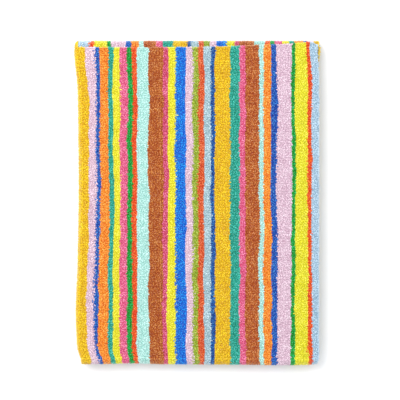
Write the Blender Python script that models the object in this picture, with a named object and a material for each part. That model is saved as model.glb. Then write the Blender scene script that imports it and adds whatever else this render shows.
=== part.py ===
"""Folded bath towel: one terry cloth, halved across its width and then folded in three along its length.

The cloth is one sheet. Its long edges are woven selvedges and its short ends are hems, all part of the sheet.
The first fold lies on the left and puts the two selvedges on the right. The second is a back-and-forth fold:
the top panel runs from its hem down to the front fold, the middle panel runs back to the rear fold, and the
bottom panel lies on the surface with its hem just inside the front fold.

Metres, +X to the right, +Y away from the viewer's feet towards the rear fold, +Z up. The origin is under the
middle of the folded towel.
"""

import math
from typing import NamedTuple

import bmesh
import bpy

# The cloth laid flat
CLOTH_WIDTH = 0.700
CLOTH_LENGTH = 1.400
CLOTH_THICKNESS = 0.0043   # loops on both faces included
LAYER_GAP = 0.0007
HEM_WIDTH = 0.0100

# How it is folded
FRONT_HALF = 0.3465        # selvedge to left fold on the outer half, the rest is the inner half
TOP_PANEL = 0.4558         # hem to front fold
MIDDLE_PANEL = 0.4552      # front fold to rear fold, the rest of the length is the bottom panel
LAYERS = 6

# Worked out from the sizes above
PITCH = CLOTH_THICKNESS + LAYER_GAP
HALF_PITCH = PITCH / 2
BOTTOM_LEVEL = PITCH - LAYER_GAP / 2
MIDDLE_LEVEL = BOTTOM_LEVEL + 2 * PITCH
TOP_LEVEL = MIDDLE_LEVEL + 2 * PITCH
HALVING_BEND = math.pi * HALF_PITCH
THIRDING_BEND = math.pi * PITCH
BACK_HALF = CLOTH_WIDTH - FRONT_HALF - HALVING_BEND
BOTTOM_PANEL = CLOTH_LENGTH - TOP_PANEL - MIDDLE_PANEL - 2 * THIRDING_BEND
LEFT, RIGHT = -FRONT_HALF, 0.0
FRONT, REAR = 0.0, MIDDLE_PANEL

# How finely the sheet is divided
HALF_STEPS = 12
PANEL_STEPS = 12
HALVING_STEPS = 6
THIRDING_STEPS = 7
CROWDING = 0.72            # 0 spaces the lines evenly, near 1 gathers them at the edges
RIM = 0.0016               # how far in from a raw edge the cloth is back at its full thickness
RIM_FULLNESS = 0.45
HEM_GROOVE = 0.0022        # half the width of the dip that the hem's stitching pulls in
GROOVE_FULLNESS = 0.84

TERRY_COLOUR = (0.78, 0.42, 0.16, 1.0)
TERRY_ROUGHNESS = 0.95


class Line(NamedTuple):
    """A line of the sheet's grid: its place on the flat cloth, and the share of the thickness left there."""

    place: float
    fullness: float


class Pull(NamedTuple):
    """A soft pull on the stack: where it acts, how far it reaches, on which layers, and how it moves them.

    Layers count from the surface up. A lift parts the first layer from the one below, and all above rises.
    """

    name: str
    x: float
    y: float
    reach_x: float
    reach_y: float
    first: int
    last: int
    right: float = 0.0
    rearwards: float = 0.0
    lift: float = 0.0


class Swell(NamedTuple):
    """A plump or pressed place, where the whole stack is thicker or thinner by a share of its height."""

    name: str
    x: float
    y: float
    reach_x: float
    reach_y: float
    share: float


SELVEDGE = (Line(0.0, RIM_FULLNESS), Line(RIM, 1.0))
STITCHING = (
    Line(HEM_WIDTH - HEM_GROOVE, 1.0),
    Line(HEM_WIDTH, GROOVE_FULLNESS),
    Line(HEM_WIDTH + HEM_GROOVE, 1.0),
)
HEM = SELVEDGE + STITCHING

MID_X = (LEFT + RIGHT) / 2
MID_Y = (FRONT + REAR) / 2
FAR = 9.0                  # a reach so long that the pull is the same all the way

PULLS = (
    Pull("left edge bellies out at the rear", LEFT, REAR - 0.006, 0.016, 0.036, 1, 6, right=-0.0060),
    Pull("left edge is drawn in at the middle", LEFT, 0.255, 0.060, 0.095, 1, 6, right=0.0020),
    Pull("left edge bellies out near the front", LEFT, 0.065, 0.040, 0.050, 1, 6, right=-0.0030),
    Pull("front left corner is pulled in", LEFT, FRONT - 0.008, 0.085, 0.014, 1, 6, right=0.0062),
    Pull("front left corner fills out", LEFT, FRONT - 0.011, 0.014, 0.007, 1, 6, right=-0.0032),
    Pull("front right corner is drawn in", RIGHT, FRONT - 0.008, 0.009, 0.009, 1, 6, right=-0.0016),
    Pull("front right corner is drawn back", RIGHT, FRONT - 0.008, 0.009, 0.009, 1, 6, rearwards=0.0014),
    Pull("front edge reaches out at the right", -0.050, FRONT - 0.008, 0.060, 0.030, 1, 6, rearwards=-0.0012),
    Pull("front edge is drawn back at the left", -0.280, FRONT - 0.008, 0.045, 0.030, 1, 6, rearwards=0.0014),
    Pull("rear right corner of the lower cloth shows", RIGHT, REAR, 0.026, 0.018, 1, 5, right=0.0022),
    Pull("second layer lies furthest out there", RIGHT, REAR, 0.026, 0.020, 5, 5, right=0.0009),
    Pull("top layer is drawn in there", RIGHT, REAR - 0.006, 0.022, 0.020, 6, 6, right=-0.0032),
    Pull("top layer reaches back on the right", RIGHT - 0.006, REAR, 0.034, 0.026, 6, 6, rearwards=0.0054),
    Pull("its hem climbs towards that reach", -0.070, REAR, 0.050, 0.030, 6, 6, rearwards=0.0026),
    Pull("top layer's corner is rounded there", RIGHT + 0.002, REAR, 0.007, 0.016, 6, 6, rearwards=-0.0040),
    Pull("top layer curls at the rear right corner", RIGHT, REAR, 0.014, 0.022, 6, 6, lift=0.0012),
    Pull("hem of the top layer dips at the left", LEFT + 0.080, REAR, 0.190, 0.030, 6, 6, rearwards=-0.0024),
    Pull("second layer's hem sits back", MID_X, REAR, FAR, 0.060, 5, 5, rearwards=-0.0030),
    Pull("second layer's selvedge is short", RIGHT, 0.150, 0.030, 0.180, 5, 5, right=-0.0024),
    Pull("middle panel lies further left", MID_X, MID_Y, FAR, 0.280, 3, 4, right=-0.0022),
    Pull("bottom panel is skewed at the front", MID_X, FRONT, FAR, 0.150, 1, 2, right=-0.0022),
    Pull("bottom panel's hem wanders", -0.080, FRONT, 0.070, 0.060, 1, 2, rearwards=0.0034),
    Pull("selvedges part near the front", RIGHT, 0.110, 0.050, 0.060, 6, 6, lift=0.0009),
    Pull("selvedges part near the rear", RIGHT, 0.330, 0.060, 0.070, 5, 6, lift=0.0008),
    Pull("middle panel lifts at the right", RIGHT, 0.200, 0.070, 0.090, 3, 6, lift=0.0007),
    Pull("hem rides over the rear fold", -0.190, REAR, 0.090, 0.030, 5, 6, lift=0.0008),
)

SWELLS = (
    Swell("left fold", LEFT + 0.010, MID_Y, 0.028, FAR, 0.075),
    Swell("front fold", MID_X, FRONT + 0.004, FAR, 0.026, 0.045),
    Swell("rear fold", MID_X, REAR - 0.004, FAR, 0.024, 0.030),
    Swell("hollow left of the middle", -0.215, 0.300, 0.080, 0.110, -0.026),
    Swell("hollow near the front", -0.110, 0.110, 0.070, 0.080, -0.020),
    Swell("crown at the right", -0.080, 0.290, 0.060, 0.120, 0.020),
    Swell("crown near the front left", -0.250, 0.120, 0.070, 0.070, 0.018),
)


def spread(length: float, steps: int) -> list[float]:
    """Give the places that divide a length into steps, gathered towards its two ends."""
    places = []
    for index in range(steps + 1):
        share = index / steps
        places.append(length * (share - CROWDING * math.sin(2 * math.pi * share) / (2 * math.pi)))
    return places


def grid_lines(edge: tuple[Line, ...], runs: tuple, bend: float, bend_steps: int) -> list[Line]:
    """Give the sheet's lines over flat runs with a bend between each two, and the same edge at both ends."""
    places = [0.0]
    start = 0.0
    for number, (length, steps) in enumerate(runs):
        if number:
            places += [start + bend * (index + 1) / bend_steps for index in range(bend_steps)]
            start += bend
        places += [start + place for place in spread(length, steps)[1:]]
        start += length
    clear = edge[-1].place + RIM
    inner = [Line(place, 1.0) for place in places if clear < place < start - clear]
    far_edge = [Line(start - line.place, line.fullness) for line in reversed(edge)]
    return list(edge) + inner + far_edge


def halved(place: float, outward: float) -> tuple[float, float]:
    """Fold the cloth in half: from a place across the flat cloth to (x, height in the double cloth)."""
    if place <= FRONT_HALF:
        return RIGHT - place, HALF_PITCH + outward
    past = place - FRONT_HALF
    if past <= HALVING_BEND:
        angle = past / HALF_PITCH
        radius = HALF_PITCH + outward
        return LEFT - radius * math.sin(angle), radius * math.cos(angle)
    return LEFT + past - HALVING_BEND, -HALF_PITCH - outward


def thirded(place: float, height: float) -> tuple[float, float]:
    """Fold the double cloth in three: from a place along it and a height in it to (y, z) in the stack."""
    if place <= TOP_PANEL:
        return TOP_PANEL - place, TOP_LEVEL + height
    past = place - TOP_PANEL
    if past <= THIRDING_BEND:
        angle = past / PITCH
        radius = PITCH + height
        return FRONT - radius * math.sin(angle), TOP_LEVEL - PITCH + radius * math.cos(angle)
    past -= THIRDING_BEND
    if past <= MIDDLE_PANEL:
        return FRONT + past, MIDDLE_LEVEL - height
    past -= MIDDLE_PANEL
    if past <= THIRDING_BEND:
        angle = past / PITCH
        radius = PITCH - height
        return REAR + radius * math.sin(angle), MIDDLE_LEVEL - PITCH + radius * math.cos(angle)
    return REAR - (past - THIRDING_BEND), BOTTOM_LEVEL + height


def ease(value: float) -> float:
    """Rise smoothly from 0 to 1 as the value does, and stay there on either side."""
    held = min(max(value, 0.0), 1.0)
    return held * held * (3 - 2 * held)


def hill(distance: float, reach: float) -> float:
    """Fall smoothly from 1 to nearly 0 over the reach."""
    return math.exp(-((distance / reach) ** 2))


def settled(x: float, y: float, z: float) -> tuple[float, float, float]:
    """Move a point of the evenly folded stack to where the soft cloth really lies."""
    right, rearwards, lift = 0.0, 0.0, 0.0
    for pull in PULLS:
        near = hill(x - pull.x, pull.reach_x) * hill(y - pull.y, pull.reach_y)
        above = ease(z / PITCH - (pull.first - 1.5)) if pull.first > 1 else 1.0
        below = ease(pull.last + 0.5 - z / PITCH) if pull.last < LAYERS else 1.0
        right += pull.right * near * above * below
        rearwards += pull.rearwards * near * above * below
        lift += pull.lift * near * above
    stretch = 1.0
    for swell in SWELLS:
        stretch += swell.share * hill(x - swell.x, swell.reach_x) * hill(y - swell.y, swell.reach_y)
    return x + right, y + rearwards, z * stretch + lift


def sheet_point(across: Line, along: Line, side: int) -> tuple[float, float, float]:
    """Give a point of the cloth's outer face (side 1) or inner face (side -1), folded and settled."""
    fullness = min(across.fullness, along.fullness)
    outward = side * fullness * CLOTH_THICKNESS / 2
    x, height = halved(across.place, outward)
    y, z = thirded(along.place, height)
    return settled(x, y, z)


def build_sheet(name: str) -> bpy.types.Object:
    """Build the folded cloth as one closed sheet: two faces, joined round the hems and selvedges."""
    halves = ((FRONT_HALF, HALF_STEPS), (BACK_HALF, HALF_STEPS))
    columns = grid_lines(SELVEDGE, halves, HALVING_BEND, HALVING_STEPS)
    panels = ((TOP_PANEL, PANEL_STEPS), (MIDDLE_PANEL, PANEL_STEPS), (BOTTOM_PANEL, PANEL_STEPS))
    rows = grid_lines(HEM, panels, THIRDING_BEND, THIRDING_STEPS)

    points = {}
    for side in (1, -1):
        for i, across in enumerate(columns):
            for j, along in enumerate(rows):
                points[side, i, j] = sheet_point(across, along, side)
    lows = [min(point[axis] for point in points.values()) for axis in range(3)]
    highs = [max(point[axis] for point in points.values()) for axis in range(3)]
    middle_x = (lows[0] + highs[0]) / 2
    middle_y = (lows[1] + highs[1]) / 2

    shape = bmesh.new()
    corners = {}
    for key, (x, y, z) in points.items():
        corners[key] = shape.verts.new((x - middle_x, y - middle_y, z - lows[2]))
    last_i, last_j = len(columns) - 1, len(rows) - 1
    for i in range(last_i):
        for j in range(last_j):
            for side in (1, -1):
                loop = [(side, i, j), (side, i + 1, j), (side, i + 1, j + 1), (side, i, j + 1)]
                shape.faces.new([corners[key] for key in loop[::side]])
    for i in range(last_i):
        for j, turn in ((0, -1), (last_j, 1)):
            loop = [(1, i, j), (1, i + 1, j), (-1, i + 1, j), (-1, i, j)]
            shape.faces.new([corners[key] for key in loop[::turn]])
    for j in range(last_j):
        for i, turn in ((0, 1), (last_i, -1)):
            loop = [(1, i, j), (1, i, j + 1), (-1, i, j + 1), (-1, i, j)]
            shape.faces.new([corners[key] for key in loop[::turn]])
    bmesh.ops.recalc_face_normals(shape, faces=shape.faces)

    mesh = bpy.data.meshes.new(name)
    shape.to_mesh(mesh)
    shape.free()
    mesh.shade_smooth()
    towel = bpy.data.objects.new(name, mesh)
    bpy.context.scene.collection.objects.link(towel)
    return towel


def terry_material(name: str) -> bpy.types.Material:
    """Give the cloth's plain finish: matt looped cotton in the stripes' middle colour."""
    material = bpy.data.materials.new(name)
    material.use_nodes = True
    shader = material.node_tree.nodes["Principled BSDF"]
    shader.inputs["Base Color"].default_value = TERRY_COLOUR
    shader.inputs["Roughness"].default_value = TERRY_ROUGHNESS
    shader.inputs["Metallic"].default_value = 0.0
    return material


def main() -> None:
    """Clear the scene and build the towel."""
    for old in list(bpy.data.objects):
        bpy.data.objects.remove(old, do_unlink=True)
    towel = build_sheet("towel")
    towel.data.materials.append(terry_material("striped_terry"))


main()
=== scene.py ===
"""Looks of the folded bath towel: looped cotton terry in many-coloured stripes, lying on a pale studio floor.

The cloth is drawn up flat, in metres across and along it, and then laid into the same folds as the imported
solid. Its loops are real geometry on every face that shows, and the stripes follow the cloth round its folds.
"""

import logging
import math
from dataclasses import asdict, dataclass, field
from enum import Enum
from typing import NamedTuple

import bpy
import numpy as np
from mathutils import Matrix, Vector


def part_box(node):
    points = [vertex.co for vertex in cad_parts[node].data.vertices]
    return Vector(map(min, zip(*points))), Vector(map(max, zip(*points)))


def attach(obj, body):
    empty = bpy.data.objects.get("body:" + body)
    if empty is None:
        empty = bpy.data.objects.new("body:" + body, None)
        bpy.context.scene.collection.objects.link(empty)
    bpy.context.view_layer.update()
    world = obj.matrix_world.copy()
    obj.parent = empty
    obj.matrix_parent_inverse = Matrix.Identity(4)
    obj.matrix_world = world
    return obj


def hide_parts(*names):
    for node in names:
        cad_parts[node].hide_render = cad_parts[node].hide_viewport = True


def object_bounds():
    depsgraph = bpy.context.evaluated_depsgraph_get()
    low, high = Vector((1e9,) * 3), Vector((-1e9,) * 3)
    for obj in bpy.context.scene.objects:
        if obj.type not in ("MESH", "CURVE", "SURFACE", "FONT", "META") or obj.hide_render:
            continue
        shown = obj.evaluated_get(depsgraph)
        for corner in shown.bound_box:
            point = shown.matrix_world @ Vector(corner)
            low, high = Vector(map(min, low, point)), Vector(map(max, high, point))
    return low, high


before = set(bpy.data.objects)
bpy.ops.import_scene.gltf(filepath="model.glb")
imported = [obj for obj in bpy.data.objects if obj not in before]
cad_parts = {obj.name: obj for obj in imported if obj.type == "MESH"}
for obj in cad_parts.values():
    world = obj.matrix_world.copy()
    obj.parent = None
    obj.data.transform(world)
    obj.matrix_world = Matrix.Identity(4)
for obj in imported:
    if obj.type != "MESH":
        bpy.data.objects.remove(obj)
CAD_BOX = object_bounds()
NODE = "towel"
BODY = "root"
PLACE_MAP = "cloth_place"
BAKE_MAP = "OFBake"
TONE = "loop_tone"
ROOT = "loop_root"
MM = 0.001
SAMPLES = (500, 1000)  # places across and along the cloth, at which the laid stack is measured

log = logging.getLogger("folded_towel")


class Yarn(Enum):
    """The dyed yarns, as the sRGB colour of a finished loop."""

    AMBER = "EFCA08"
    YELLOW = "F1EA3D"
    ORANGE = "F9A639"
    FLAME = "F06A1A"
    BRICK = "E6743C"
    RUST = "CA7733"
    BROWN = "C7762E"
    PINK = "ED7DA4"
    ROSE = "E16D92"
    LILAC = "ECD3E0"
    MINT = "C8EFE8"
    SKY = "C1D9E9"
    MIST = "BFD6DD"
    BLUE = "0389E3"
    COBALT = "2471C6"
    NAVY = "2270B6"
    TEAL = "36B9A6"
    GREEN = "07B148"
    OLIVE = "B1C345"

    @property
    def linear(self) -> tuple[float, float, float, float]:
        """Give the yarn's colour as light, by the sRGB curve, with full alpha.

        Returns:
            Red, green, blue and alpha.
        """
        shares = [int(self.value[i : i + 2], 16) / 255 for i in (0, 2, 4)]
        light = [s / 12.92 if s <= 0.04045 else ((s + 0.055) / 1.055) ** 2.4 for s in shares]
        return light[0], light[1], light[2], 1.0


class Bar(NamedTuple):
    """One stripe of the warp: its yarn and its width in millimetres."""

    yarn: Yarn
    width: float


@dataclass(frozen=True)
class StripeChart:
    """The warp's stripes, from the outer half's selvedge inwards, over and over across the cloth.

    Attributes:
        bars: The stripes of one repeat, in order.
        start: How far into the repeat the selvedge lies, in metres.
    """

    bars: tuple[Bar, ...]
    start: float = 0.0

    @property
    def repeat(self) -> float:
        """Give the repeat's width in metres."""
        return sum(bar.width for bar in self.bars) * MM

    def fill(self, ramp: bpy.types.ColorRamp) -> None:
        """Set a colour ramp to one repeat of the stripes.

        Args:
            ramp: The ramp, which is left with one hard-edged step for each bar.
        """
        ramp.interpolation = "CONSTANT"
        place = 0.0
        for number, bar in enumerate(self.bars):
            stop = ramp.elements[0] if number == 0 else ramp.elements.new(place / self.repeat)
            stop.position = place / self.repeat
            stop.color = bar.yarn.linear
            place += bar.width * MM
        ramp.elements.remove(ramp.elements[len(ramp.elements) - 1])


STRIPES = StripeChart(
    bars=(
        Bar(Yarn.SKY, 13),
        Bar(Yarn.FLAME, 6),
        Bar(Yarn.YELLOW, 18),
        Bar(Yarn.GREEN, 6),
        Bar(Yarn.LILAC, 21),
        Bar(Yarn.COBALT, 8),
        Bar(Yarn.ORANGE, 11),
        Bar(Yarn.MINT, 8),
        Bar(Yarn.RUST, 19),
        Bar(Yarn.PINK, 9),
        Bar(Yarn.TEAL, 13),
        Bar(Yarn.AMBER, 23),
        Bar(Yarn.NAVY, 5),
        Bar(Yarn.MIST, 11),
        Bar(Yarn.BRICK, 8),
        Bar(Yarn.OLIVE, 8),
        Bar(Yarn.LILAC, 10),
        Bar(Yarn.BLUE, 15),
        Bar(Yarn.YELLOW, 12),
        Bar(Yarn.ROSE, 7),
        Bar(Yarn.BROWN, 21),
        Bar(Yarn.MINT, 16),
        Bar(Yarn.FLAME, 8),
        Bar(Yarn.GREEN, 6),
        Bar(Yarn.PINK, 12),
        Bar(Yarn.YELLOW, 10),
        Bar(Yarn.TEAL, 6),
        Bar(Yarn.ORANGE, 13),
        Bar(Yarn.COBALT, 6),
        Bar(Yarn.LILAC, 11),
        Bar(Yarn.AMBER, 19),
    ),
    start=0.004,
)


class Pull(NamedTuple):
    """A soft pull on the stack, in metres.

    Attributes:
        x: Where it acts, from left to right, with the selvedges near 0.
        y: Where it acts, from front to rear, with the front fold's start at 0.
        reach_x: How far it is felt to either side.
        reach_y: How far it is felt to the front and rear.
        first: The lowest layer that it moves, from 1 on the floor.
        last: The highest layer that it moves sideways.
        right: How far it moves them to the right.
        rearwards: How far it moves them to the rear.
        lift: How far it lifts the first layer and all above it.
    """

    x: float
    y: float
    reach_x: float
    reach_y: float
    first: int
    last: int
    right: float = 0.0
    rearwards: float = 0.0
    lift: float = 0.0


class Swell(NamedTuple):
    """A plump or pressed place of the whole stack, in metres.

    Attributes:
        x: Where it is, from left to right.
        y: Where it is, from front to rear.
        reach_x: How far it is felt to either side.
        reach_y: How far it is felt to the front and rear.
        share: How much thicker the stack is there, as a share of its height. It is thinner below 0.
    """

    x: float
    y: float
    reach_x: float
    reach_y: float
    share: float


def ease(value: np.ndarray) -> np.ndarray:
    """Rise smoothly from 0 to 1 as the value does, and stay there on either side."""
    held = np.clip(value, 0.0, 1.0)
    return held * held * (3 - 2 * held)


def hill(distance: np.ndarray, reach: float) -> np.ndarray:
    """Fall smoothly from 1 to nearly 0 over the reach."""
    return np.exp(-((distance / reach) ** 2))


@dataclass(frozen=True)
class TowelFold:
    """How the flat cloth is laid: halved across its width, then back and forth in three along its length.

    Attributes:
        width: The flat cloth's width in metres.
        length: The flat cloth's length.
        thickness: The cloth's full thickness with its loops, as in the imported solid.
        gap: The gap between two layers.
        front_half: From the outer half's selvedge to the left fold.
        top_panel: From the top hem to the front fold.
        middle_panel: From the front fold to the rear fold.
        hem: How far the hem's stitching lies from the hem's edge.
        rim: How far in from a raw edge the cloth is back at its full thickness.
        rim_fullness: The share of the thickness that is left at a raw edge.
        groove: How wide the dip along the stitching is, to either side.
        groove_fullness: The share of the thickness that is left in that dip.
        layers: How many layers of cloth lie in the stack.
    """

    width: float = 0.700
    length: float = 1.400
    thickness: float = 0.0043
    gap: float = 0.0007
    front_half: float = 0.3465
    top_panel: float = 0.4558
    middle_panel: float = 0.4552
    hem: float = 0.0100
    rim: float = 0.0016
    rim_fullness: float = 0.45
    groove: float = 0.0022
    groove_fullness: float = 0.84
    layers: int = 6

    @property
    def pitch(self) -> float:
        """Give the rise from one layer to the next."""
        return self.thickness + self.gap

    @property
    def halving_bend(self) -> float:
        """Give the length of cloth that turns round the left fold."""
        return math.pi * self.pitch / 2

    @property
    def thirding_bend(self) -> float:
        """Give the length of cloth that turns round the front or the rear fold."""
        return math.pi * self.pitch

    @property
    def outermost(self) -> float:
        """Give the radius of the front fold's outer face."""
        return 1.5 * self.pitch + self.thickness / 2

    @property
    def back_start(self) -> float:
        """Give the place across the cloth where the left fold ends and its back half starts."""
        return self.front_half + self.halving_bend

    @property
    def front_end(self) -> float:
        """Give the place along the cloth where the front fold ends."""
        return self.top_panel + self.thirding_bend

    @property
    def rear_start(self) -> float:
        """Give the place along the cloth where the rear fold starts."""
        return self.front_end + self.middle_panel

    @property
    def rear_end(self) -> float:
        """Give the place along the cloth where the rear fold ends."""
        return self.rear_start + self.thirding_bend

    @property
    def pulls(self) -> tuple[Pull, ...]:
        """Give the soft pulls that shape the outline and part the layers.

        Returns:
            The pulls, whose effects add up.
        """
        left, right, front, rear, far = -self.front_half, 0.0, 0.0, self.middle_panel, 9.0
        mid_x, mid_y = left / 2, rear / 2
        return (
            Pull(left, rear - 0.006, 0.016, 0.036, 1, 6, right=-0.0060),
            Pull(left, 0.255, 0.060, 0.095, 1, 6, right=0.0020),
            Pull(left, 0.065, 0.040, 0.050, 1, 6, right=-0.0030),
            Pull(left, front - 0.008, 0.085, 0.014, 1, 6, right=0.0062),
            Pull(left, front - 0.011, 0.014, 0.007, 1, 6, right=-0.0032),
            Pull(right, front - 0.008, 0.009, 0.009, 1, 6, right=-0.0016),
            Pull(right, front - 0.008, 0.009, 0.009, 1, 6, rearwards=0.0014),
            Pull(-0.050, front - 0.008, 0.060, 0.030, 1, 6, rearwards=-0.0012),
            Pull(-0.280, front - 0.008, 0.045, 0.030, 1, 6, rearwards=0.0014),
            Pull(right, rear, 0.026, 0.018, 1, 5, right=0.0022),
            Pull(right, rear, 0.026, 0.020, 5, 5, right=0.0009),
            Pull(right, rear - 0.006, 0.022, 0.020, 6, 6, right=-0.0032),
            Pull(right - 0.006, rear, 0.034, 0.026, 6, 6, rearwards=0.0054),
            Pull(-0.070, rear, 0.050, 0.030, 6, 6, rearwards=0.0026),
            Pull(right + 0.002, rear, 0.007, 0.016, 6, 6, rearwards=-0.0040),
            Pull(right, rear, 0.014, 0.022, 6, 6, lift=0.0012),
            Pull(left + 0.080, rear, 0.190, 0.030, 6, 6, rearwards=-0.0024),
            Pull(mid_x, rear, far, 0.060, 5, 5, rearwards=-0.0030),
            Pull(right, 0.150, 0.030, 0.180, 5, 5, right=-0.0024),
            Pull(mid_x, mid_y, far, 0.280, 3, 4, right=-0.0022),
            Pull(mid_x, front, far, 0.150, 1, 2, right=-0.0022),
            Pull(-0.080, front, 0.070, 0.060, 1, 2, rearwards=0.0034),
            Pull(right, 0.110, 0.050, 0.060, 6, 6, lift=0.0009),
            Pull(right, 0.330, 0.060, 0.070, 5, 6, lift=0.0008),
            Pull(right, 0.200, 0.070, 0.090, 3, 6, lift=0.0007),
            Pull(-0.190, rear, 0.090, 0.030, 5, 6, lift=0.0008),
        )

    @property
    def swells(self) -> tuple[Swell, ...]:
        """Give the plump folds and the shallow hollows and crowns of the stack.

        Returns:
            The swells, whose effects add up.
        """
        left, front, rear, far = -self.front_half, 0.0, self.middle_panel, 9.0
        return (
            Swell(left + 0.010, rear / 2, 0.028, far, 0.075),
            Swell(left / 2, front + 0.004, far, 0.026, 0.045),
            Swell(left / 2, rear - 0.004, far, 0.024, 0.030),
            Swell(-0.215, 0.300, 0.080, 0.110, -0.026),
            Swell(-0.110, 0.110, 0.070, 0.080, -0.020),
            Swell(-0.080, 0.290, 0.060, 0.120, 0.020),
            Swell(-0.250, 0.120, 0.070, 0.070, 0.018),
        )

    def fullness(self, across: np.ndarray, along: np.ndarray) -> np.ndarray:
        """Thin the cloth at its raw edges and along the hems' stitching.

        Args:
            across: Places across the flat cloth.
            along: Places along it.

        Returns:
            The share of the full thickness that is left at each place.
        """
        edge = np.minimum.reduce([across, self.width - across, along, self.length - along])
        rim = self.rim_fullness + (1 - self.rim_fullness) * ease(edge / self.rim * 0.5 + 0.5 * (edge > 0))
        return rim * (1 - (1 - self.groove_fullness) * self.seam(along))

    def seam(self, along: np.ndarray) -> np.ndarray:
        """Give how near each place is to a hem's stitching, from 1 on it to 0 a few millimetres away."""
        return hill(np.minimum(along, self.length - along) - self.hem, self.groove)

    def halved(self, across: np.ndarray, outward: np.ndarray) -> tuple[np.ndarray, np.ndarray]:
        """Fold the cloth in half.

        Args:
            across: Places across the flat cloth.
            outward: Heights off the cloth's middle, positive on its outer face.

        Returns:
            The places' x, and their height in the double cloth.
        """
        past = across - self.front_half
        angle = np.clip(past / (self.pitch / 2), 0.0, math.pi)
        radius = self.pitch / 2 + outward
        x = -np.minimum(across, self.front_half) + np.maximum(past - self.halving_bend, 0.0)
        return x - radius * np.sin(angle), radius * np.cos(angle)

    def thirded(self, along: np.ndarray, height: np.ndarray) -> tuple[np.ndarray, np.ndarray]:
        """Fold the double cloth back and forth in three.

        Args:
            along: Places along the flat cloth, from the top hem.
            height: Heights in the double cloth.

        Returns:
            The places' y and z in the stack.
        """
        bend, middle = self.thirding_bend, self.middle_panel
        past_front = along - self.top_panel
        past_rear = past_front - bend - middle
        front = np.clip(past_front / self.pitch, 0.0, math.pi)
        rear = np.clip(past_rear / self.pitch, 0.0, math.pi)
        outer, inner = self.pitch + height, self.pitch - height
        y = -np.minimum(past_front, 0.0) + np.clip(past_front - bend, 0.0, middle)
        y = y - np.maximum(past_rear - bend, 0.0) - outer * np.sin(front) + inner * np.sin(rear)
        top = 4 * self.pitch - self.gap / 2
        return y, top + outer * np.cos(front) - inner * (1 - np.cos(rear))

    def settled(self, x: np.ndarray, y: np.ndarray, z: np.ndarray) -> np.ndarray:
        """Move points of the evenly folded stack to where the soft cloth really lies.

        Args:
            x: The points' places from left to right.
            y: Their places from front to rear.
            z: Their heights over the floor.

        Returns:
            The moved points, one row for each.
        """
        right, rearwards, lift = np.zeros_like(x), np.zeros_like(x), np.zeros_like(x)
        level = z / self.pitch
        for pull in self.pulls:
            near = hill(x - pull.x, pull.reach_x) * hill(y - pull.y, pull.reach_y)
            above = ease(level - (pull.first - 1.5)) if pull.first > 1 else 1.0
            below = ease(pull.last + 0.5 - level) if pull.last < self.layers else 1.0
            right += pull.right * near * above * below
            rearwards += pull.rearwards * near * above * below
            lift += pull.lift * near * above
        stretch = np.ones_like(x)
        for swell in self.swells:
            stretch += swell.share * hill(x - swell.x, swell.reach_x) * hill(y - swell.y, swell.reach_y)
        return np.stack([x + right, y + rearwards, z * stretch + lift], axis=-1)

    def laid(self, across: np.ndarray, along: np.ndarray, outward: np.ndarray) -> np.ndarray:
        """Lay places of the flat cloth into the folded stack.

        Args:
            across: Places across the flat cloth, from the outer half's selvedge.
            along: Places along it, from the top hem.
            outward: Heights off the cloth's middle, positive on its outer face.

        Returns:
            An array of points, still about the stack's own corner.
        """
        x, height = self.halved(across, outward)
        y, z = self.thirded(along, height)
        return self.settled(x, y, z)

    def shift(self) -> np.ndarray:
        """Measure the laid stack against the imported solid.

        Returns:
            The move that brings the middle of the one over the other, and both onto the same floor.
        """
        columns, rows = np.linspace(0, self.width, SAMPLES[0]), np.linspace(0, self.length, SAMPLES[1])
        across, along = np.meshgrid(columns, rows)
        half = self.fullness(across, along) * self.thickness / 2
        points = np.concatenate([self.laid(across, along, side * half).reshape(-1, 3) for side in (1, -1)])
        low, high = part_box(NODE)
        move = (np.array(low) + np.array(high)) / 2 - (points.min(0) + points.max(0)) / 2
        move[2] = low[2] - points[:, 2].min()
        return move


FOLD = TowelFold()
SHIFT = FOLD.shift()


class Wave(NamedTuple):
    """A gentle wave in the pile: its radians per metre across and along the cloth, and where it starts."""

    across: int
    along: int
    start: float


WAVES = (
    Wave(122, 46, 0.4),
    Wave(74, -104, 1.9),
    Wave(176, 142, 3.1),
    Wave(-58, 194, 4.4),
    Wave(226, -82, 5.2),
    Wave(38, 28, 0.9),
)


def lumps(across: np.ndarray, along: np.ndarray) -> np.ndarray:
    """Sum the crossing waves that make the pile gently uneven over a few centimetres.

    Args:
        across: Places across the flat cloth.
        along: Places along it.

    Returns:
        The unevenness at each place, from -1 to 1.
    """
    total = sum(np.sin(wave.across * across + wave.along * along + wave.start) for wave in WAVES)
    return total / len(WAVES)


def mesh_object(name: str, mesh: bpy.types.Mesh) -> bpy.types.Object:
    """Put a mesh into the scene as an object at the origin.

    Args:
        name: The object's name.
        mesh: Its mesh.

    Returns:
        The new object.
    """
    thing = bpy.data.objects.new(name, mesh)
    bpy.context.scene.collection.objects.link(thing)
    return thing


def write_uv(mesh: bpy.types.Mesh, name: str, places: np.ndarray) -> None:
    """Write a UV map from one pair of numbers for each vertex.

    Args:
        mesh: The mesh to write to.
        name: The map's name.
        places: The pairs, one row for each vertex.
    """
    layer = mesh.uv_layers.new(name=name, do_init=False)
    corners = np.zeros(len(mesh.loops), np.int32)
    mesh.loops.foreach_get("vertex_index", corners)
    layer.uv.foreach_set("vector", places[corners].astype(np.float32).ravel())


def vectors(data: bpy.types.bpy_prop_collection, name: str) -> np.ndarray:
    """Read one vector for each item of a mesh's data.

    Args:
        data: The mesh's vertices, or the data of one of its attributes.
        name: The property that holds the vector.

    Returns:
        The vectors, one row for each item.
    """
    numbers = np.zeros(len(data) * 3, np.float32)
    data.foreach_get(name, numbers)
    return numbers.reshape(-1, 3).astype(float)


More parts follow.
